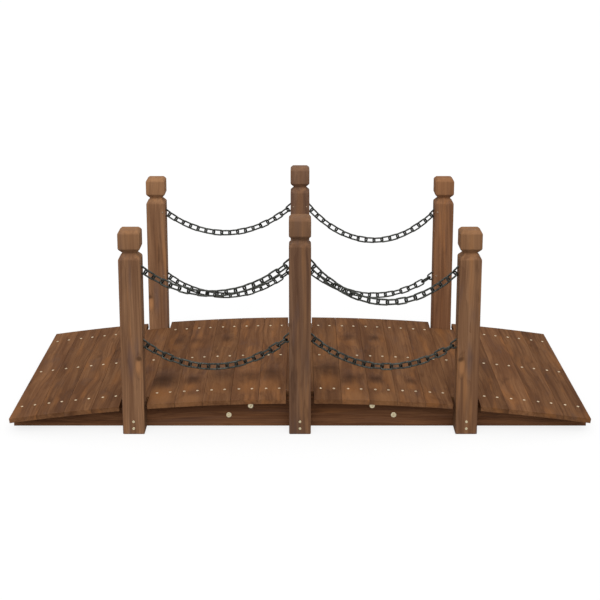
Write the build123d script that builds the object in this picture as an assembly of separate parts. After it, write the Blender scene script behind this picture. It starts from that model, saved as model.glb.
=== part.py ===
from build123d import *
from itertools import product
from math import asin, asinh, atan, atanh, cos, cosh, degrees, pi, sin, sinh, sqrt, tan
import os

# A wooden garden footbridge: arched stringers, a deck of crosswise boards,
# square posts beside the stringers and chains for railings.
# Millimetres and degrees. X runs along the bridge, Y across it, Z up.
# The origin is on the ground, under the middle of the deck.

# Whole bridge
bridge_length = 1500.0
bridge_width = 670.0
cut_overrun = 5.0

# Stringers: flat underneath, one shallow arch on top
stringer_thickness = 45.0
stringer_crest_height = 83.5
stringer_end_height = 29.5

# Deck boards, laid across the stringers along the arch
board_count = 21
boards_between_posts = 6
board_thickness = 12.0
board_gap = 0.5
board_setback = 1.0
board_seat_gap = 0.3
short_board_gap = 1.0

# Posts, with a chamfered head and a groove with sloping sides below it
post_side = 56.0
outer_post_height = 541.0
middle_post_height = 574.0
head_chamfer = 7.0
head_height = 41.0
groove_depth = 10.0
groove_slope = 10.5
neck_height = 5.0

# Chains: welded links of round wire, drawn with flat facets
link_inner_length = 24.5
link_inner_width = 11.0
link_wire = 4.7
link_corner = 3.4
link_play = 0.5
wire_facets = 5
quarter_turn = 90.0
hang_twist = 36.0
settle_twist = 24.0
settle_share = 0.6
loose_twist = 8.0
roll_twist = 15.0
chain_slack_share = 1.1
right_upper_spare_links = 1
solver_steps = 50

# Chain ends: a pocket cut into the post, and a pin across it through the last link
outer_chain_drop = 101.0
middle_chain_drop = 117.0
chain_row_spacing = 196.0
pin_radius = 2.0
pin_inset = 8.0
pin_cover = 10.0
pin_clearance = 0.2
pin_facets = 6
pocket_side_gap = 3.0
pocket_floor_gap = 3.6
pocket_height_share = 2.1
pocket_drop_share = 0.36

# The arch that the deck follows
half_length = bridge_length / 2
arch_rise = stringer_crest_height - stringer_end_height
arch_radius = (half_length**2 + arch_rise**2) / (2 * arch_rise)
arch_centre_z = stringer_crest_height - arch_radius
seat_radius = arch_radius + board_seat_gap
board_step = 2 * asin(half_length / (arch_radius + board_thickness)) / board_count
board_width = seat_radius * board_step - board_gap
middle_board = (board_count + 1) // 2

# Places along and across the bridge
post_spacing = seat_radius * sin(boards_between_posts * board_step)
post_centre_y = (bridge_width - post_side) / 2
stringer_face_y = bridge_width / 2 - post_side
stringer_centre_y = stringer_face_y - stringer_thickness / 2
long_board_length = bridge_width - 2 * board_setback
short_board_length = 2 * (stringer_face_y - short_board_gap)

# One link. A facet lies as far from the wire's middle as gives the section of round wire
wire_flat = link_wire / 2 * sqrt(pi / (wire_facets * tan(pi / wire_facets)))
link_outer_width = link_inner_width + 2 * link_wire
link_pitch = link_inner_length - link_play

# One chain, from pin to pin. The upper row hangs a set way below the tops of the posts
outer_chain_height = outer_post_height - outer_chain_drop
middle_chain_height = middle_post_height - middle_chain_drop
chain_rise = middle_chain_height - outer_chain_height
pin_offset = post_side / 2 - pin_inset
pin_length = post_side - pin_cover
chain_span = post_spacing - 2 * pin_offset
chain_chord = sqrt(chain_span**2 + chain_rise**2)
link_count = round((chain_chord * chain_slack_share + 2 * pin_radius + link_play) / link_pitch)

# The pocket for a chain's last link, which leaves the post pointing down
pocket_depth = pin_inset + pin_radius + link_play + link_wire + pocket_floor_gap
pocket_width = link_wire + 2 * pocket_side_gap
pocket_height = pocket_height_share * link_outer_width
pocket_drop = pocket_drop_share * link_outer_width

# Sides of the bridge as signs of Y, places along it as signs of X, chain rows counted downward
sides = {"front": -1, "back": 1}
places = {"left": -1, "middle": 0, "right": 1}
bays = {"left": -1, "right": 1}
rows = {"upper": 0, "lower": 1}


def stringer(centre_y):
    """One stringer: flat underneath, upright ends, arched top."""
    ends = Polyline(
        (-half_length, stringer_end_height),
        (-half_length, 0),
        (half_length, 0),
        (half_length, stringer_end_height),
    )
    arch = ThreePointArc(
        (half_length, stringer_end_height),
        (0, stringer_crest_height),
        (-half_length, stringer_end_height),
    )
    profile = make_face(Plane.XZ * (ends + arch))
    return Pos(0, centre_y, 0) * extrude(profile, stringer_thickness / 2, both=True)


def deck_board(number):
    """One flat board, resting on the arch. A board between two posts stops short of them."""
    steps = number - middle_board
    between_posts = steps in [place * boards_between_posts for place in places.values()]
    length = short_board_length if between_posts else long_board_length
    blank = Box(board_width, length, board_thickness, align=(Align.CENTER, Align.CENTER, Align.MIN))
    angle = steps * board_step
    seat = Pos(seat_radius * sin(angle), 0, arch_centre_z + seat_radius * cos(angle))
    return seat * Rot(0, degrees(angle), 0) * blank


def post_blank(height):
    """Square post with its head and groove, the same on all four sides."""
    half = post_side / 2
    neck_half = half - groove_depth
    head_top = height - head_chamfer
    head_bottom = head_top - head_height
    neck_top = head_bottom - groove_slope
    neck_bottom = neck_top - neck_height
    shaft_top = neck_bottom - groove_slope
    right_outline = [
        (half, 0),
        (half, shaft_top),
        (neck_half, neck_bottom),
        (neck_half, neck_top),
        (half, head_bottom),
        (half, head_top),
        (half - head_chamfer, height),
    ]
    left_outline = [(-across, up) for across, up in reversed(right_outline)]
    profile = make_face(Polyline(*right_outline, *left_outline, close=True))
    seen_from_front = extrude(Plane.XZ * profile, post_side, both=True)
    seen_from_end = extrude(Plane.YZ * profile, post_side, both=True)
    return seen_from_front & seen_from_end


def chain_height(place, row):
    """Height of the pin that holds a chain at a post."""
    upper_height = middle_chain_height if place == 0 else outer_chain_height
    return upper_height - row * chain_row_spacing


def chain_ends(place):
    """Every chain end in a post: the sign of X towards its bay, and its height."""
    ways = [-1, 1] if place == 0 else [-place]
    return [(way, chain_height(place, row)) for way, row in product(ways, rows.values())]


def pocket(way, height):
    """The pocket in a post's side for the last link of a chain."""
    floor_x = way * (post_side / 2 - pocket_depth)
    floor = Plane(origin=(floor_x, 0, height - pocket_drop), x_dir=(0, 1, 0), z_dir=(way, 0, 0))
    return extrude(floor * Rectangle(pocket_width, pocket_height), pocket_depth + cut_overrun)


def pin(side, way, height, clearance=0, overrun=0):
    """A pin across a pocket, driven in from the walkway face of the post."""
    entry_y = -side * (post_side / 2 + overrun)
    entry = Plane(origin=(way * pin_offset, entry_y, height), x_dir=(1, 0, 0), z_dir=(0, side, 0))
    section = RegularPolygon(pin_radius + clearance, pin_facets, major_radius=False)
    return extrude(entry * section, pin_length + clearance + overrun)


def post_seat(side, place):
    """Where a post stands: beside the stringer, between two deck boards."""
    return Pos(place * post_spacing, side * post_centre_y, 0)


def post(side, place):
    """One post with the pockets and pin holes for its chains."""
    body = post_blank(middle_post_height if place == 0 else outer_post_height)
    for way, height in chain_ends(place):
        body -= pocket(way, height)
        body -= pin(side, way, height, pin_clearance, cut_overrun)
    return post_seat(side, place) * body


def chain_pins(side, place):
    """All the pins in one post."""
    pins = [pin(side, way, height) for way, height in chain_ends(place)]
    return post_seat(side, place) * Compound(children=pins)


def chain_link():
    """One link: faceted wire round a long ring with cut corners, standing in the XZ plane."""
    side_z = link_inner_width / 2 + wire_flat
    end_x = link_inner_length / 2 + wire_flat
    upper_right = [(end_x - link_corner, side_z), (end_x, side_z - link_corner)]
    right_end = upper_right + [(x, -z) for x, z in reversed(upper_right)]
    left_end = [(-x, -z) for x, z in right_end]
    ring = Plane.XZ * Polyline((0, side_z), *right_end, *left_end, close=True)
    start = Plane(origin=(0, 0, side_z), x_dir=(0, 1, 0), z_dir=(1, 0, 0))
    section = RegularPolygon(wire_flat, wire_facets, major_radius=False, rotation=quarter_turn)
    return sweep(start * section, path=ring, transition=Transition.RIGHT).clean()


def hanging_line(start, end, chain_length):
    """The curve of a chain hung between two (x, z) points, as a function of the way along it."""
    span = end[0] - start[0]
    rise = end[1] - start[1]
    stretch = sqrt(chain_length**2 - rise**2) / span
    low = 0
    high = sqrt(6 * (stretch - 1))
    for _ in range(solver_steps):
        trial = (low + high) / 2
        if sinh(trial) < stretch * trial:
            low = trial
        else:
            high = trial
    scale = span / (low + high)
    lowest_x = (start[0] + end[0]) / 2 - scale * atanh(rise / chain_length)
    start_turn = (start[0] - lowest_x) / scale

    def at(way):
        """Place (x, z) and slope in degrees, this far along the chain from its first pin."""
        turn = asinh(way / scale + sinh(start_turn))
        x = lowest_x + scale * turn
        z = start[1] + scale * (cosh(turn) - cosh(start_turn))
        return x, z, degrees(atan(sinh(turn)))

    return at


def pin_place(place, way, row):
    """Middle of a chain's pin, as (x, z)."""
    return place * post_spacing + way * pin_offset, chain_height(place, row)


def link_twist(index, count, twist_waves):
    """Turn of a link about the line of its chain. Links lean to one side and the other by turns,
    the chain rolls over a little between its ends, and the first and last links settle nearly
    upright in their pockets."""
    links_in = min(index, count - 1 - index)
    lean = hang_twist - settle_twist * (-settle_share) ** links_in
    along = pi * index / (count - 1)
    return (-1) ** index * lean + loose_twist * sin(twist_waves * along) - roll_twist * sin(along)


def chain(link, side, bay, row, twist_waves):
    """Links hung from post to post. The upper chains of the right bay are a little slacker."""
    left_place = min(bay, 0)
    right_place = max(bay, 0)
    spare_links = right_upper_spare_links if bay > 0 and row == 0 else 0
    count = link_count + spare_links
    length = count * link_pitch - 2 * pin_radius - link_play
    line = hanging_line(pin_place(left_place, 1, row), pin_place(right_place, -1, row), length)
    first_middle = link_inner_length / 2 - pin_radius - link_play
    links = []
    for index in range(count):
        x, z, slope = line(first_middle + index * link_pitch)
        twist = link_twist(index, count, twist_waves)
        links.append(Pos(x, side * post_centre_y, z) * Rot(0, -slope, 0) * Rot(twist, 0, 0) * link)
    return Compound(children=links)


def bridge():
    """Every piece of the bridge by its name."""
    pieces = {}
    for number in range(1, board_count + 1):
        pieces[f"deck_board_{number:02d}"] = deck_board(number)
    pieces["middle_stringer"] = stringer(0)
    for side_name, side in sides.items():
        pieces[f"{side_name}_stringer"] = stringer(side * stringer_centre_y)
    for (side_name, side), (place_name, place) in product(sides.items(), places.items()):
        pieces[f"{side_name}_{place_name}_post"] = post(side, place)
        pieces[f"{side_name}_{place_name}_chain_pins"] = chain_pins(side, place)
    link = chain_link()
    spots = product(sides.items(), bays.items(), rows.items())
    for twist_waves, ((side_name, side), (bay_name, bay), (row_name, row)) in enumerate(spots, start=2):
        pieces[f"{side_name}_{bay_name}_{row_name}_chain"] = chain(link, side, bay, row, twist_waves)
    return pieces


os.makedirs("parts", exist_ok=True)
for name, piece in bridge().items():
    export_step(piece, f"parts/{name}.step")
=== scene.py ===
from math import atan2, cos, pi, radians, sin, tau
from random import Random

import bmesh
import bpy
import numpy as np
from mathutils import Matrix, Vector


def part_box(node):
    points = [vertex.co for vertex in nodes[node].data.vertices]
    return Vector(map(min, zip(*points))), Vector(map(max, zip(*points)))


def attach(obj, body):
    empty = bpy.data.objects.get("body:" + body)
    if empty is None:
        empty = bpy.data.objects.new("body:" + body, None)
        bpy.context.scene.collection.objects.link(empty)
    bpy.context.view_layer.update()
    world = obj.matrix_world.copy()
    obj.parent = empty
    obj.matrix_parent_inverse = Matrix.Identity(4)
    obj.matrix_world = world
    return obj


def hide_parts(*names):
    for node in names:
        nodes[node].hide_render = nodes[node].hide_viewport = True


# A wooden garden footbridge: arched deck of stained fir boards, square posts
# with chamfered heads, and blackened steel chains for railings.
# Blender units are metres. Sizes of small pieces are written in millimetres.

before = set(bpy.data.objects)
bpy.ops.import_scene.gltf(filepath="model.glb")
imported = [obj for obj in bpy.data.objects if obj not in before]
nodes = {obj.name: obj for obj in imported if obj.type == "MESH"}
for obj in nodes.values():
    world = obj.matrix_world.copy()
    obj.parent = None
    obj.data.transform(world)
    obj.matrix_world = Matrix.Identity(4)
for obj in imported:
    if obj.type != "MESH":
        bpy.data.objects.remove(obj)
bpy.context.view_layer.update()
mm = 0.001

# The bridge's axes, for the way that a timber's grain runs
along_bridge = 0
across_bridge = 1
upright = 2

# Pieces of the frame, by kind
sides = {"front": -1, "back": 1}
places = ("left", "middle", "right")
bays = ("left", "right")
rows = ("upper", "lower")
board_names = sorted(name for name in nodes if name.startswith("deck_board"))
post_names = [f"{side}_{place}_post" for side in sides for place in places]
stringer_names = ["front_stringer", "middle_stringer", "back_stringer"]
chain_names = [f"{side}_{bay}_{row}_chain" for side in sides for bay in bays for row in rows]

# Posts, their outer edges rounded over to a plain arc
post_edge_round = 2.6 * mm
post_edge_steps = 3
post_edge_profile = 0.5
post_long_edge = 30 * mm
post_sharp_angle = radians(35)
flat_angle = radians(1)

# Timber edges, eased by a sanding pass
edge_round = 1.0 * mm
board_edge_round = 0.4 * mm
edge_steps = 2
edge_angle = radians(30)
weld_reach = 0.01 * mm

# Chain links of round wire, closed by a butt weld on one long side
link_inner_length = 24.5 * mm
link_inner_width = 11.0 * mm
link_wire = 4.7 * mm
link_bend_radius = 5.0 * mm
weld_bulge_share = 0.10
weld_length = 2.6 * mm
wire_sides = 10
bend_steps = 5
weld_steps = 9

# Countersunk deck screws, two to a board over each stringer.
# A board that stops short at the posts has them over the middle stringer alone
short_board_margin = 20 * mm
deck_screw_radius = 3.5 * mm
deck_screw_height = 0.9 * mm
deck_screw_recess = 0.6 * mm
deck_screw_from_middle = 17.2 * mm

# Screws through the foot of each post into the stringer
foot_screw_radius = 3.5 * mm
foot_screw_height = 0.9 * mm
foot_screw_recess = 0.6 * mm
foot_screw_levels = (16.0 * mm, 34.7 * mm)

# Screws that hold the chain ends, driven in from the walkway
chain_screw_radius = 2.6 * mm
chain_screw_height = 0.7 * mm
chain_screw_recess = 0.5 * mm
shank_sides = 12

# Connector bolts with wide flat heads through the outer stringers, as (x, z)
bolt_radius = 7.3 * mm
bolt_height = 1.8 * mm
bolt_socket_radius = 2.0 * mm
bolt_socket_depth = 1.2 * mm
bolt_places = (
    (-186.0 * mm, 31.0 * mm),
    (-129.0 * mm, 56.5 * mm),
    (188.5 * mm, 56.5 * mm),
    (245.0 * mm, 31.0 * mm),
)

# Heads of screws and bolts, from the sunk foot to the top: shares of the radius and of the height
head_profile_shares = ((1.0, -0.4), (1.0, 0.35), (0.93, 0.75), (0.78, 1.0))
screw_head_sides = 20
bolt_head_sides = 32
# A cross recess as a share of the head, its arms as a share of it, and a recess's floor of its mouth
cross_size_share = 0.55
cross_arm_share = 0.3
recess_floor_share = 0.7

# Camera, as it stood for the photograph
camera_place = (0.0, -3.4643, 1.349)
camera_pitch = radians(12.213)
camera_lens = 77.75
camera_drop_share = -0.2

# Studio
studio_white = "#ffffff"
floor_half_size = 60.0
floor_drop = 0.2 * mm
floor_grey = "#787878"
floor_glow = 0.80
sky_strength = 0.80
backdrop_strength = 1.0
lamp_strength = 1.84
lamp_elevation = radians(42)
lamp_spread = radians(50)

# Sockets of a Mix node for colours, whose names its other kinds share
mix_share = 0
mix_under = 6
mix_over = 7
mix_result = 2


def linear(hex_colour, tone=(1.0, 1.0, 1.0)):
    """An sRGB hex colour as linear RGBA, with its red, green and blue each scaled by a tone."""
    parts = [int(hex_colour[place:place + 2], 16) / 255 for place in (1, 3, 5)]
    light = [part / 12.92 if part <= 0.04045 else ((part + 0.055) / 1.055) ** 2.4 for part in parts]
    return (*[share * part for share, part in zip(tone, light)], 1.0)


def metres(sizes_mm):
    """Sizes in millimetres, in Blender's units."""
    return [size * mm for size in sizes_mm]


def add(tree, kind, sockets=None, **settings):
    """Adds one node. Settings are its properties, sockets its inputs: a value, or an output to link."""
    node = tree.nodes.new(kind)
    for name, value in settings.items():
        setattr(node, name, value)
    for key, value in (sockets or {}).items():
        if isinstance(value, bpy.types.NodeSocket):
            tree.links.new(value, node.inputs[key])
        else:
            node.inputs[key].default_value = value
    return node


def new_material(name):
    """A material with no nodes yet, as (material, tree)."""
    material = bpy.data.materials.new(name)
    material.use_nodes = True
    material.node_tree.nodes.clear()
    return material, material.node_tree


def stretched(axis, across_mm, along_mm):
    """Pattern repeats for each metre on X, Y and Z: narrow across the grain, long along it."""
    repeats = [1 / (across_mm * mm)] * 3
    repeats[axis] = 1 / (along_mm * mm)
    return repeats


# Fir, planed and sanded, then dipped in a thin brown stain. The late wood shows through it as
# darker lines and the stain takes unevenly, so the eye sees soft bands that wander along the
# grain, orange streaks, violet-grey smudges where the stain pooled, dark knots and little gloss.
fir_deep = "#6b4a33"
fir_pale = "#856043"
fir_late_wood = "#563927"
fir_orange = "#95663f"
fir_tan = "#946a47"
fir_smudge = "#432c1e"
fir_violet = "#584640"
fir_knot_heart = "#9c6c45"
fir_knot_rim = "#3b271b"
fir_roughness = (0.60, 0.78)
fir_specular_level = 0.02
fir_bump_strength = 0.6
fir_relief = 0.3 * mm

# Growth rings, drawn two to four times as wide as they are, so that they show.
# A ring texture of scale 1 repeats 20 times in each tau
ring_spacing_mm = 13.0
ring_run_mm = 300
ring_period = tau / 20
ring_distortion = 8.0
ring_detail = 2.0
ring_detail_scale = 1.1
ring_detail_roughness = 0.55
late_wood_power = 2.2
pith_reach_mm = 60
pith_lean = 0.35

# How the grain wanders and how marks fray: width across the grain and run along it, and reach
wander_size_mm = (80, 260)
wander_reach = 36 * mm
wander_detail = 1.0
ragged_size_mm = (15, 34)
ragged_reach = 14 * mm
ragged_detail = 2.0
mark_swirl = 9.0

# Stain patterns: width across the grain and run along it in millimetres, and detail.
# The fibres are drawn ten to thirty times as coarse as they are, so that they show
fir_patterns = {
    "band": (28, 330, 2.5),
    "streak": (5, 320, 2.0),
    "orange": (27, 190, 2.0),
    "violet": (34, 130, 3.0),
    "smudge": (30, 80, 3.0),
    "fibre": (1.2, 60, 3.0),
}
pattern_roughness = 0.55
pattern_seeds = 100
# How the patterns lie over the deep stain: where each begins, where it is full, its most, its shade
fir_layers = (
    ("band", 0.34, 0.66, 1.0, fir_pale),
    ("late_wood", 0.20, 1.0, 0.34, fir_late_wood),
    ("streak", 0.46, 0.62, 0.34, fir_late_wood),
    ("orange", 0.52, 0.70, 0.55, fir_orange),
    ("violet", 0.53, 0.72, 0.40, fir_violet),
    ("smudge", 0.55, 0.76, 0.55, fir_smudge),
    ("fibre", 0.48, 0.72, 0.36, fir_late_wood),
)


def stain_pattern(tree, space, axis, size_mm, seed, detail, output="Fac"):
    """A cloudy pattern, so wide across the grain and so long along it, its own for each seed."""
    drawn = add(
        tree, "ShaderNodeVectorMath", {0: space, 1: stretched(axis, *size_mm)}, operation="MULTIPLY"
    ).outputs["Vector"]
    sockets = {"Vector": drawn, "W": seed, "Scale": 1.0, "Detail": detail, "Roughness": pattern_roughness}
    return add(tree, "ShaderNodeTexNoise", sockets, noise_dimensions="4D").outputs[output]


def stained_fir(name, place, tilt, axis, tone, figure=(1.0, 1.0, 1.0), marks=()):
    """Stained fir with its grain along one axis of a piece that lies at a place, tilted about Y.
    The figure scales its patterns across, along, and in how far they wander. Each mark is its place
    in the piece, its half sizes, where it is full, how far it covers there, and its shade."""
    across_share, along_share, wander_share = figure
    chance = Random(name)
    seed = chance.uniform(0, pattern_seeds)
    material, tree = new_material(f"stained_fir_{name}")
    spot = add(tree, "ShaderNodeTexCoord").outputs["Object"]
    own = add(
        tree,
        "ShaderNodeMapping",
        {"Vector": spot, "Location": place, "Rotation": (0, tilt, 0)},
        vector_type="TEXTURE",
    ).outputs["Vector"]

    # The grain wanders sideways as it runs along the piece
    sideways = [wander_share * wander_reach] * 3
    sideways[axis] = 0.0
    drift = stain_pattern(tree, own, axis, wander_size_mm, seed, wander_detail, "Color")
    grain = add(
        tree, "ShaderNodeVectorMath", {0: drift, 1: sideways, 2: own}, operation="MULTIPLY_ADD"
    ).outputs["Vector"]

    # Knots, smudges, tan ends and the painted light on post heads: patches with ragged edges that fade
    # from their middles
    mark_layers = []
    swirl = seed
    if marks:
        reach = across_share * ragged_reach
        fray = stain_pattern(tree, own, axis, ragged_size_mm, seed, ragged_detail, "Color")
        ragged = add(
            tree, "ShaderNodeVectorMath", {0: fray, 1: [reach] * 3, 2: own}, operation="MULTIPLY_ADD"
        ).outputs["Vector"]
    for mark_place, mark_half, full, most, shade in marks:
        patch = add(
            tree,
            "ShaderNodeMapping",
            {"Vector": ragged, "Location": [way + reach / 2 for way in mark_place], "Scale": mark_half},
            vector_type="TEXTURE",
        ).outputs["Vector"]
        field = add(
            tree, "ShaderNodeTexGradient", {"Vector": patch}, gradient_type="SPHERICAL"
        ).outputs["Fac"]
        mark_layers.append((field, 0.0, full, most, shade))
        swirl = add(
            tree, "ShaderNodeMath", {0: field, 1: mark_swirl, 2: swirl}, operation="MULTIPLY_ADD"
        ).outputs["Value"]

    # Growth rings about a pith that lies off to one side and leans through the piece
    ring_size_mm = (across_share * ring_spacing_mm, along_share * ring_run_mm)
    ring_repeats = [ring_period * repeat for repeat in stretched(axis, *ring_size_mm)]
    pith = metres(chance.uniform(-pith_reach_mm, pith_reach_mm) for _ in range(3))
    ring_space = add(
        tree,
        "ShaderNodeMapping",
        {
            "Vector": grain,
            "Location": [way * repeat for way, repeat in zip(pith, ring_repeats)],
            "Rotation": [chance.uniform(-pith_lean, pith_lean) for _ in range(3)],
            "Scale": ring_repeats,
        },
    ).outputs["Vector"]
    rings = add(
        tree,
        "ShaderNodeTexWave",
        {
            "Vector": ring_space,
            "Scale": 1.0,
            "Distortion": ring_distortion,
            "Detail": ring_detail,
            "Detail Scale": ring_detail_scale,
            "Detail Roughness": ring_detail_roughness,
            "Phase Offset": swirl,
        },
        wave_type="RINGS",
        rings_direction="XYZ"[axis],
        wave_profile="SAW",
    ).outputs["Fac"]
    late_wood = add(
        tree, "ShaderNodeMath", {0: rings, 1: late_wood_power}, operation="POWER"
    ).outputs["Value"]

    # The patterns and marks, laid one over the other
    patterns = {"late_wood": late_wood}
    for pattern, (across_mm, along_mm, detail) in fir_patterns.items():
        size_mm = (across_share * across_mm, along_share * along_mm)
        patterns[pattern] = stain_pattern(tree, grain, axis, size_mm, seed + across_mm, detail)
    layers = [(patterns[pattern], *rest) for pattern, *rest in fir_layers] + mark_layers
    colour = linear(fir_deep, tone)
    for factor, begins, full, most, shade in layers:
        share = add(
            tree,
            "ShaderNodeMapRange",
            {"Value": factor, "From Min": begins, "From Max": full, "To Min": 0.0, "To Max": most},
            interpolation_type="SMOOTHSTEP",
        ).outputs["Result"]
        colour = add(
            tree,
            "ShaderNodeMix",
            {mix_share: share, mix_under: colour, mix_over: linear(shade, tone)},
            data_type="RGBA",
        ).outputs[mix_result]

    roughness = add(
        tree,
        "ShaderNodeMapRange",
        {"Value": patterns["fibre"], "To Min": fir_roughness[0], "To Max": fir_roughness[1]},
    ).outputs["Result"]
    relief = add(
        tree, "ShaderNodeMath", {0: late_wood, 1: patterns["fibre"]}, operation="ADD"
    ).outputs["Value"]
    bump = add(
        tree,
        "ShaderNodeBump",
        {"Height": relief, "Strength": fir_bump_strength, "Distance": fir_relief},
    ).outputs["Normal"]
    shader = add(
        tree,
        "ShaderNodeBsdfPrincipled",
        {
            "Base Color": colour,
            "Roughness": roughness,
            "Normal": bump,
            "Specular IOR Level": fir_specular_level,
        },
    )
    add(tree, "ShaderNodeOutputMaterial", {"Surface": shader.outputs["BSDF"]})
    return material


# Patches of metals, drawn coarser than the grain of a plating or an oxide, so that they show
metal_patch_detail = 3.0
metal_patch_roughness = 0.6
metal_patch_edges = (0.35, 0.65)
metal_bump_strength = 0.3
metal_relief = 0.05 * mm


def metal(name, bright, dull, roughness, patch_mm):
    """A plated or blackened metal: two shades in patches, with the roughness following them."""
    material, tree = new_material(name)
    spot = add(tree, "ShaderNodeTexCoord").outputs["Object"]
    patches = add(
        tree,
        "ShaderNodeTexNoise",
        {
            "Vector": spot,
            "Scale": 1 / (patch_mm * mm),
            "Detail": metal_patch_detail,
            "Roughness": metal_patch_roughness,
        },
    ).outputs["Fac"]
    share = add(
        tree,
        "ShaderNodeMapRange",
        {"Value": patches, "From Min": metal_patch_edges[0], "From Max": metal_patch_edges[1]},
    ).outputs["Result"]
    colour = add(
        tree,
        "ShaderNodeMix",
        {mix_share: share, mix_under: linear(bright), mix_over: linear(dull)},
        data_type="RGBA",
    ).outputs[mix_result]
    rough = add(
        tree, "ShaderNodeMapRange", {"Value": share, "To Min": roughness[0], "To Max": roughness[1]}
    ).outputs["Result"]
    bump = add(
        tree,
        "ShaderNodeBump",
        {"Height": patches, "Strength": metal_bump_strength, "Distance": metal_relief},
    ).outputs["Normal"]
    shader = add(
        tree,
        "ShaderNodeBsdfPrincipled",
        {"Base Color": colour, "Metallic": 1.0, "Roughness": rough, "Normal": bump},
    )
    add(tree, "ShaderNodeOutputMaterial", {"Surface": shader.outputs["BSDF"]})
    return material


# Mild steel chain, tumbled and blackened in hot oil: nearly black, with a soft grey shine on its rounds
blackened_steel = metal("blackened_steel", "#4a4c47", "#2e2f2c", (0.38, 0.55), 6.0)
# Deck screws of zinc-plated steel, passivated: pale and faintly warm, with a fine satin
zinc_plate = metal("zinc_plated_steel", "#dccbae", "#bda98a", (0.36, 0.50), 2.5)
# Bolts and post screws, zinc-plated and yellow passivated: straw-coloured, with a duller satin
yellow_zinc = metal("yellow_passivated_zinc", "#d0c4a6", "#b1a486", (0.42, 0.56), 3.0)
# Chain screws of steel, phosphated light brown: matt, so that they hardly show against the posts
browned_steel = metal("browned_steel", "#a8917a", "#8a735e", (0.45, 0.60), 2.5)


def own_frame(node, tilted=False):
    """A timber's middle, its tilt about Y, and half its size along its own axes."""
    tilt = 0.0
    if tilted:
        normal = max(node.data.polygons, key=lambda face: face.area).normal
        tilt = atan2(normal.x / normal.z, 1.0)
    turn = Matrix.Rotation(tilt, 3, "Y")
    corners = np.array([turn.inverted() @ corner.co for corner in node.data.vertices])
    low = corners.min(axis=0)
    high = corners.max(axis=0)
    return turn @ Vector((low + high) / 2), tilt, (high - low) / 2


def ease_edges(node, width):
    """Rounds a timber's sharp edges a little, as sanding does."""
    node.modifiers.new("join_faces", "WELD").merge_threshold = weld_reach
    rounding = node.modifiers.new("eased_edges", "BEVEL")
    rounding.width = width
    rounding.segments = edge_steps
    rounding.limit_method = "ANGLE"
    rounding.angle_limit = edge_angle
    node.modifiers.new("flat_faces", "WEIGHTED_NORMAL")


def dress(node, material):
    """Gives a timber its finish."""
    node.data.materials.clear()
    node.data.materials.append(material)


# Red, green and blue of the stain as each kind of timber took it
deck_tone = (0.80, 0.75, 0.69)
# The stringers' tone is partly their stain and partly painted light: it is lifted a little to make up for
# the shade under the deck's overhang
stringer_tone_and_light = (0.90, 0.81, 0.79)
post_tone = (1.32, 1.41, 1.52)
post_tones = {
    "front_left_post": (1.16, 1.23, 1.34),
    "front_middle_post": (0.90, 0.99, 1.18),
    "front_right_post": (1.11, 1.16, 1.24),
    "back_middle_post": (0.86, 0.98, 1.29),
    "back_right_post": (1.15, 1.13, 1.16),
}
board_tone_spread = 0.13
# Boards that came out of the stain lighter or darker than the rest, by number
board_tone_shares = {1: 1.15, 5: 1.25, 8: 0.9, 9: 1.3, 10: 1.1, 12: 0.9, 16: 0.95, 19: 1.15, 20: 0.9}

# Figure of the posts and stringers against the deck's: across, along, and how far it wanders
post_figure = (0.65, 1.4, 0.47)
stringer_figure = (0.42, 1.7, 0.70)

# Knots on the front faces of posts: sideways from the middle and up from the ground, in millimetres
post_knots = {
    "front_left_post": (15, 186),
    "front_right_post": (-15, 186),
    "back_left_post": (-20, 160),
}
# Each knot's marks in millimetres: outward and up from its middle, and half sizes.
# Then where each is full, how far it covers there, and its shade
post_knot_marks = (
    (-17, 16, (14, 24, 76), 0.9, 0.50, fir_violet),
    (0, 2, (15, 24, 46), 0.8, 0.45, fir_smudge),
    (1, -3, (11, 24, 34), 0.8, 0.80, fir_knot_heart),
    (4, 18, (10, 24, 9), 0.7, 0.65, fir_knot_rim),
)
# Painted light: the heads of the posts are painted a little paler and tan, standing in for the brighter
# light on the upper posts
painted_light_head = ((90, 90, 110), 0.9, 0.45, fir_tan)

# Smudged knots on deck boards, by number: place across the bridge in millimetres, size and depth
board_knots = {
    6: ((-168, 1.7, 1.0), (150, 0.9, 0.45)),
    7: ((-174, 1.0, 0.8), (146, 0.8, 0.50)),
    8: ((150, 0.8, 0.40), (-150, 1.5, 0.45)),
    9: ((-160, 1.4, 0.60),),
    10: ((-142, 1.6, 0.60),),
    12: ((-110, 1.6, 0.65),),
    13: ((-178, 1.3, 0.7), (156, 0.9, 0.50)),
    14: ((-182, 0.9, 0.75), (152, 0.8, 0.55)),
    15: ((-184, 0.7, 0.6),),
}
# How far a smudge may lie from the middle of its board's width, as a share of half that width
board_knot_stray_share = 0.4
# Each smudge's marks in millimetres: along the board from its middle, and half sizes.
# Then where each is full, how far it covers there, and its shade
board_knot_marks = (
    (-58, (32, 50, 40), 0.9, 0.75, fir_orange),
    (26, (36, 44, 40), 0.9, 0.40, fir_violet),
    (0, (38, 44, 40), 0.8, 0.70, fir_smudge),
    (6, (20, 16, 40), 0.9, 0.45, fir_knot_rim),
)
# Boards whose front ends shed the stain and stayed tan: the middle and half sizes of the pale end
tan_ended_boards = (6, 7, 13, 14)
tan_end = (-312, (46, 56, 44), 0.8, 0.60, fir_tan)


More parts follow.
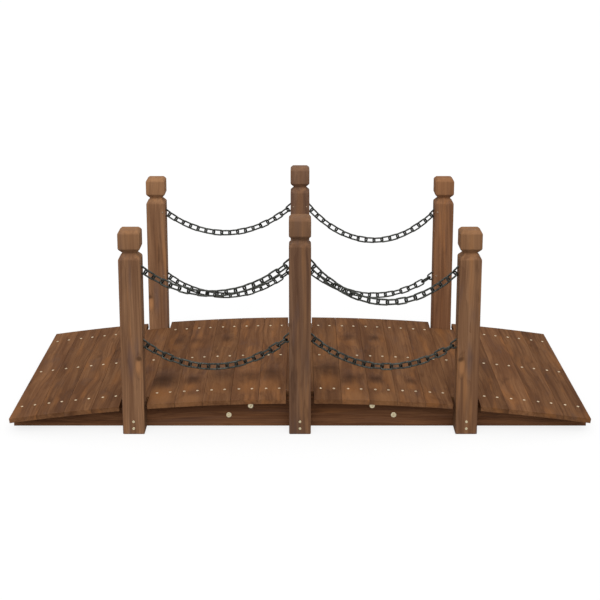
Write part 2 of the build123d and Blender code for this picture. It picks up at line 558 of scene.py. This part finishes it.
def board_finish(name):
    """Stained fir for one deck board, a little lighter or darker than the next."""
    place, tilt, half = own_frame(nodes[name], tilted=True)
    number = int(name[-2:])
    chance = Random(name + "_tone")
    shift = 1 + chance.uniform(-board_tone_spread, board_tone_spread)
    shift *= board_tone_shares.get(number, 1.0)
    marks = []
    for y, size, depth in board_knots.get(number, ()):
        x = chance.uniform(-board_knot_stray_share, board_knot_stray_share) * half[0]
        for along, mark_half, full, most, shade in board_knot_marks:
            middle = (x, (y + size * along) * mm, half[2])
            marks.append((middle, metres(size * reach for reach in mark_half), full, depth * most, shade))
    if number in tan_ended_boards:
        y, end_half, *cover = tan_end
        marks.append(((0, y * mm, half[2]), metres(end_half), *cover))
    tone = [shift * part for part in deck_tone]
    return stained_fir(name, place, tilt, across_bridge, tone, marks=marks)


def stringer_finish(name):
    """Stained fir for one stringer, plain and close-grained, its tone lifted a little by painted light.
    """
    place, tilt, _ = own_frame(nodes[name])
    return stained_fir(name, place, tilt, along_bridge, stringer_tone_and_light, stringer_figure)


def post_finish(name):
    """Stained fir for one post, with painted light on its head and the knot on its front face."""
    place, tilt, half = own_frame(nodes[name])
    # The head's painted light, laid on as a pale mark
    head_half, *cover = painted_light_head
    marks = [((0, 0, half[2]), metres(head_half), *cover)]
    if name in post_knots:
        x, z = post_knots[name]
        way = 1 if x > 0 else -1
        for out, up, mark_half, *cover in post_knot_marks:
            middle = ((x + way * out) * mm, -half[1], (z + up) * mm - half[2])
            marks.append((middle, metres(mark_half), *cover))
    return stained_fir(name, place, tilt, upright, post_tones.get(name, post_tone), post_figure, marks)


def add_piece(name, mesh, material):
    """A piece of the bridge from its mesh."""
    mesh.materials.append(material)
    piece = bpy.data.objects.new(name, mesh)
    bpy.context.scene.collection.objects.link(piece)
    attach(piece, "root")
    return piece


def round_post(name):
    """A post in its finish, its outer edges rounded over and its pockets and groove left sharp."""
    node = nodes[name]
    work = bmesh.new()
    work.from_mesh(node.data)
    bmesh.ops.remove_doubles(work, verts=work.verts, dist=weld_reach)
    bmesh.ops.dissolve_limit(work, angle_limit=flat_angle, verts=work.verts, edges=work.edges)
    middle = own_frame(node)[0]
    outer = []
    for edge in work.edges:
        ends = [corner.co - middle for corner in edge.verts]
        at_corner = all(abs(abs(end.x) - abs(end.y)) < weld_reach for end in ends)
        across = (ends[1] - ends[0]).xy.length
        stands_out = edge.is_convex and edge.calc_face_angle() > edge_angle
        if stands_out and (at_corner or across > post_long_edge):
            outer.append(edge)
    bmesh.ops.bevel(
        work,
        geom=outer,
        offset=post_edge_round,
        segments=post_edge_steps,
        profile=post_edge_profile,
        affect="EDGES",
        clamp_overlap=True,
    )
    bmesh.ops.triangulate(work, faces=work.faces)
    mesh = bpy.data.meshes.new(f"{name}_timber")
    work.to_mesh(mesh)
    work.free()
    mesh.shade_smooth()
    mesh.set_sharp_from_angle(angle=post_sharp_angle)
    piece = add_piece(f"{name}_timber", mesh, post_finish(name))
    piece.modifiers.new("flat_faces", "WEIGHTED_NORMAL").keep_sharp = True
    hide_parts(name)


def dress_timbers():
    """Stain and eased or rounded edges for every board, stringer and post."""
    for name in board_names:
        dress(nodes[name], board_finish(name))
        ease_edges(nodes[name], board_edge_round)
    for name in stringer_names:
        dress(nodes[name], stringer_finish(name))
        ease_edges(nodes[name], edge_round)
    for name in post_names:
        round_post(name)


def solids(node):
    """Corners of each separate solid in a node, as arrays."""
    work = bmesh.new()
    work.from_mesh(node.data)
    bmesh.ops.remove_doubles(work, verts=work.verts, dist=weld_reach)
    seen = set()
    found = []
    for first in work.verts:
        if first in seen:
            continue
        seen.add(first)
        reached = [first]
        for corner in reached:
            for edge in corner.link_edges:
                other = edge.other_vert(corner)
                if other not in seen:
                    seen.add(other)
                    reached.append(other)
        found.append(np.array([corner.co for corner in reached]))
    work.free()
    return found


def stamp(name, shape, spots, material):
    """One piece made of copies of a shape, (corners, faces), set at each 4x4 place."""
    corners, faces = shape
    all_corners = []
    all_faces = []
    for spot in spots:
        start = len(all_corners)
        all_corners += [spot @ Vector(corner) for corner in corners]
        all_faces += [[start + index for index in face] for face in faces]
    mesh = bpy.data.meshes.new(name)
    mesh.from_pydata(all_corners, [], all_faces)
    return add_piece(name, mesh, material)


def link_shape():
    """One welded link of round wire, long on X and standing on Z."""
    reach = (link_inner_length + link_wire) / 2 - link_bend_radius
    rise = (link_inner_width + link_wire) / 2 - link_bend_radius
    # The wire's middle line, each point with the way out of the link there and the wire's swell
    line = []
    for corner, (way_x, way_z) in enumerate(((1, -1), (1, 1), (-1, 1), (-1, -1))):
        for step in range(bend_steps + 1):
            turn = (corner - 1 + step / bend_steps) * pi / 2
            x = way_x * reach + link_bend_radius * cos(turn)
            z = way_z * rise + link_bend_radius * sin(turn)
            line.append((x, z, cos(turn), sin(turn), 1.0))
        if corner == 1:
            # The upper long side, after the second bend, holds the weld
            for step in range(1, weld_steps):
                x = reach - 2 * reach * step / weld_steps
                swell = 1 + weld_bulge_share * np.exp(-(x / weld_length) ** 2)
                line.append((x, rise + link_bend_radius, 0.0, 1.0, swell))
    corners = []
    for x, z, out_x, out_z, swell in line:
        for side in range(wire_sides):
            turn = tau * side / wire_sides
            out = swell * link_wire / 2 * cos(turn)
            corners.append((x + out * out_x, swell * link_wire / 2 * sin(turn), z + out * out_z))
    faces = []
    for ring in range(len(line)):
        here = ring * wire_sides
        there = (ring + 1) % len(line) * wire_sides
        for side in range(wire_sides):
            beside = (side + 1) % wire_sides
            faces.append((here + side, here + beside, there + beside, there + side))
    return corners, faces


def link_spot(corners):
    """Where a link of the frame lies: its middle and its own long, upright and thin axes."""
    middle = corners.mean(axis=0)
    long_way, up_way, _ = np.linalg.svd(corners - middle)[2]
    long_way = long_way if long_way[0] > 0 else -long_way
    up_way = up_way if up_way[2] + up_way[1] > 0 else -up_way
    axes = Matrix([long_way, np.cross(up_way, long_way), up_way]).transposed().to_4x4()
    return Matrix.Translation(middle) @ axes


def hang_chains():
    """Smooth round-wire links in the place of every link of the frame."""
    shape = link_shape()
    for name in chain_names:
        spots = [link_spot(corners) for corners in solids(nodes[name])]
        piece = stamp(f"{name}_links", shape, spots, blackened_steel)
        piece.data.shade_smooth()
        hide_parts(name)


def cross_recess(size):
    """Outline of a cross-head recess, arm by arm."""
    thin = cross_arm_share * size
    outline = []
    for quarter in range(4):
        turn = Matrix.Rotation(quarter * pi / 2, 2)
        outline += [tuple(turn @ Vector(point)) for point in ((size, -thin), (size, thin), (thin, thin))]
    return outline


def hex_recess(size):
    """Outline of a hexagon socket."""
    return [(size * cos(turn), size * sin(turn)) for turn in (tau * corner / 6 for corner in range(6))]


def head_shape(radius, height, recess, depth, head_sides):
    """A screw or bolt head on Z, domed at its rim, with a recess of the given outline."""
    work = bmesh.new()
    turns = [tau * side / head_sides for side in range(head_sides)]
    rims = []
    for share, level in head_profile_shares:
        reach = share * radius
        rims.append([work.verts.new((reach * cos(t), reach * sin(t), level * height)) for t in turns])
    for lower, upper in zip(rims, rims[1:]):
        for side in range(head_sides):
            beside = (side + 1) % head_sides
            work.faces.new((lower[side], lower[beside], upper[beside], upper[side]))
    shrink = recess_floor_share
    mouth = [work.verts.new((x, y, height)) for x, y in recess]
    floor = [work.verts.new((shrink * x, shrink * y, height - depth)) for x, y in recess]
    edges = []
    for loop in (rims[-1], mouth):
        for corner, beside in zip(loop, loop[1:] + loop[:1]):
            edges.append(work.edges.get((corner, beside)) or work.edges.new((corner, beside)))
    bmesh.ops.triangle_fill(work, use_beauty=True, edges=edges)
    for side in range(len(recess)):
        beside = (side + 1) % len(recess)
        work.faces.new((mouth[side], mouth[beside], floor[beside], floor[side]))
    work.faces.new(floor)
    work.faces.new(rims[0])
    bmesh.ops.recalc_face_normals(work, faces=work.faces)
    work.verts.index_update()
    corners = [tuple(corner.co) for corner in work.verts]
    faces = [[corner.index for corner in face.verts] for face in work.faces]
    work.free()
    return corners, faces


def screw_head(radius, height, depth):
    """A screw's head, with a cross recess."""
    return head_shape(radius, height, cross_recess(cross_size_share * radius), depth, screw_head_sides)


def facing(place, way):
    """A 4x4 place whose Z axis points a given way."""
    return Matrix.Translation(place) @ Vector(way).to_track_quat("Z", "Y").to_matrix().to_4x4()


def drive_deck_screws():
    """Two screws through every board into each stringer that it is screwed to."""
    shape = screw_head(deck_screw_radius, deck_screw_height, deck_screw_recess)
    ends = {board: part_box(board)[1].y for board in board_names}
    full_reach = max(ends.values())
    short_boards = [board for board, end in ends.items() if end < full_reach - short_board_margin]
    for name in stringer_names:
        row_y = sum(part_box(name), Vector()).y / 2
        spots = []
        for board in board_names:
            if board in short_boards and name != "middle_stringer":
                continue
            place, tilt, half = own_frame(nodes[board], tilted=True)
            lie = Matrix.Translation(place) @ Matrix.Rotation(tilt, 4, "Y")
            for way in (-1, 1):
                turned = Matrix.Rotation(Random(f"{name}{board}{way}").uniform(0, pi / 2), 4, "Z")
                top = Matrix.Translation((way * deck_screw_from_middle, row_y, half[2]))
                spots.append(lie @ top @ turned)
        stamp(name.replace("stringer", "deck_screws"), shape, spots, zinc_plate)


def drive_foot_screws():
    """Two screws through the foot of each post."""
    shape = screw_head(foot_screw_radius, foot_screw_height, foot_screw_recess)
    for side, way in sides.items():
        spots = []
        for place in places:
            low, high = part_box(f"{side}_{place}_post")
            face_y = high.y if way > 0 else low.y
            for level in foot_screw_levels:
                spots.append(facing(((low.x + high.x) / 2, face_y, level), (0, way, 0)))
        stamp(f"{side}_post_foot_screws", shape, spots, yellow_zinc)


def shank_shape(radius, length):
    """The round shank of a chain screw, along Z."""
    turns = [tau * side / shank_sides for side in range(shank_sides)]
    corners = [(radius * cos(t), radius * sin(t), level) for level in (-length, 0.0) for t in turns]
    faces = [list(range(shank_sides))[::-1], list(range(shank_sides, 2 * shank_sides))]
    for side in range(shank_sides):
        beside = (side + 1) % shank_sides
        faces.append((side, beside, shank_sides + beside, shank_sides + side))
    return corners, faces


def drive_chain_screws():
    """Screws with small domed heads in the place of the pins that hold the chains."""
    head_corners, head_faces = screw_head(chain_screw_radius, chain_screw_height, chain_screw_recess)
    start = len(head_corners)
    for side, way in sides.items():
        for place in places:
            name = f"{side}_{place}_chain_pins"
            spots = []
            for corners in solids(nodes[name]):
                low = corners.min(axis=0)
                high = corners.max(axis=0)
                entry_y = low[1] if way > 0 else high[1]
                entry = ((low[0] + high[0]) / 2, entry_y, (low[2] + high[2]) / 2)
                spots.append(facing(entry, (0, -way, 0)))
            shank_corners, shank_faces = shank_shape((high[2] - low[2]) / 2, high[1] - low[1])
            shape = (
                head_corners + shank_corners,
                head_faces + [[start + index for index in face] for face in shank_faces],
            )
            piece = stamp(f"{side}_{place}_chain_screws", shape, spots, browned_steel)
            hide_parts(name)


def fit_bolts():
    """Connector bolts through the two outer stringers, with a flat head on both faces."""
    socket = hex_recess(bolt_socket_radius)
    shape = head_shape(bolt_radius, bolt_height, socket, bolt_socket_depth, bolt_head_sides)
    for side in sides:
        low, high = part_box(f"{side}_stringer")
        spots = []
        for x, z in bolt_places:
            spots.append(facing((x, low.y, z), (0, -1, 0)))
            spots.append(facing((x, high.y, z), (0, 1, 0)))
        stamp(f"{side}_stringer_bolts", shape, spots, yellow_zinc)


def seen_directly(tree):
    """1 for rays from the camera, and for those that gloss and glass send on."""
    path = add(tree, "ShaderNodeLightPath").outputs
    gloss = add(
        tree, "ShaderNodeMath", {0: path["Is Camera Ray"], 1: path["Is Glossy Ray"]}, operation="MAXIMUM"
    ).outputs["Value"]
    return add(
        tree, "ShaderNodeMath", {0: gloss, 1: path["Is Transmission Ray"]}, operation="MAXIMUM"
    ).outputs["Value"]


def matt_white_paper():
    """Studio paper off a roll, uncoated: no gloss at all, so that it is white and shows a soft shadow."""
    material, tree = new_material("matt_white_paper")
    glow = add(
        tree, "ShaderNodeMath", {0: seen_directly(tree), 1: floor_glow}, operation="MULTIPLY"
    ).outputs["Value"]
    matt = add(tree, "ShaderNodeBsdfDiffuse", {"Color": linear(floor_grey)}).outputs["BSDF"]
    white = add(tree, "ShaderNodeEmission", {"Strength": glow}).outputs["Emission"]
    both = add(tree, "ShaderNodeAddShader", {0: matt, 1: white}).outputs["Shader"]
    add(tree, "ShaderNodeOutputMaterial", {"Surface": both})
    return material


def lay_floor():
    """A plain white floor under the bridge."""
    reach = floor_half_size
    outline = ((-reach, -reach), (reach, -reach), (reach, reach), (-reach, reach))
    mesh = bpy.data.meshes.new("studio_floor")
    mesh.from_pydata([(x, y, -floor_drop) for x, y in outline], [], [(0, 1, 2, 3)])
    mesh.materials.append(matt_white_paper())
    floor = bpy.data.objects.new("studio_floor", mesh)
    bpy.context.scene.collection.objects.link(floor)


def light_studio():
    """A white sky all round and one broad soft lamp from above the front."""
    world = bpy.data.worlds.new("studio_sky")
    bpy.context.scene.world = world
    world.use_nodes = True
    tree = world.node_tree
    tree.nodes.clear()
    white = linear(studio_white)
    sky = add(tree, "ShaderNodeBackground", {"Color": white, "Strength": sky_strength})
    backdrop = add(tree, "ShaderNodeBackground", {"Color": white, "Strength": backdrop_strength})
    mixed = add(
        tree,
        "ShaderNodeMixShader",
        {0: seen_directly(tree), 1: sky.outputs["Background"], 2: backdrop.outputs["Background"]},
    )
    add(tree, "ShaderNodeOutputWorld", {"Surface": mixed.outputs["Shader"]})
    lamp = bpy.data.lights.new("front_lamp", "SUN")
    lamp.energy = lamp_strength
    lamp.angle = lamp_spread
    stand = bpy.data.objects.new("front_lamp", lamp)
    stand.rotation_euler = (pi / 2 - lamp_elevation, 0, 0)
    bpy.context.scene.collection.objects.link(stand)


def set_camera():
    """The camera in front of the bridge, looking down on it."""
    camera = bpy.data.cameras.new("camera")
    camera.lens = camera_lens
    camera.shift_y = camera_drop_share
    stand = bpy.data.objects.new("camera", camera)
    stand.location = camera_place
    stand.rotation_euler = (pi / 2 - camera_pitch, 0, 0)
    bpy.context.scene.collection.objects.link(stand)
    bpy.context.scene.camera = stand


dress_timbers()
hang_chains()
drive_deck_screws()
drive_foot_screws()
drive_chain_screws()
fit_bolts()
lay_floor()
light_studio()
set_camera()
bpy.context.scene.view_settings.view_transform = "Standard"

bpy.context.view_layer.update()
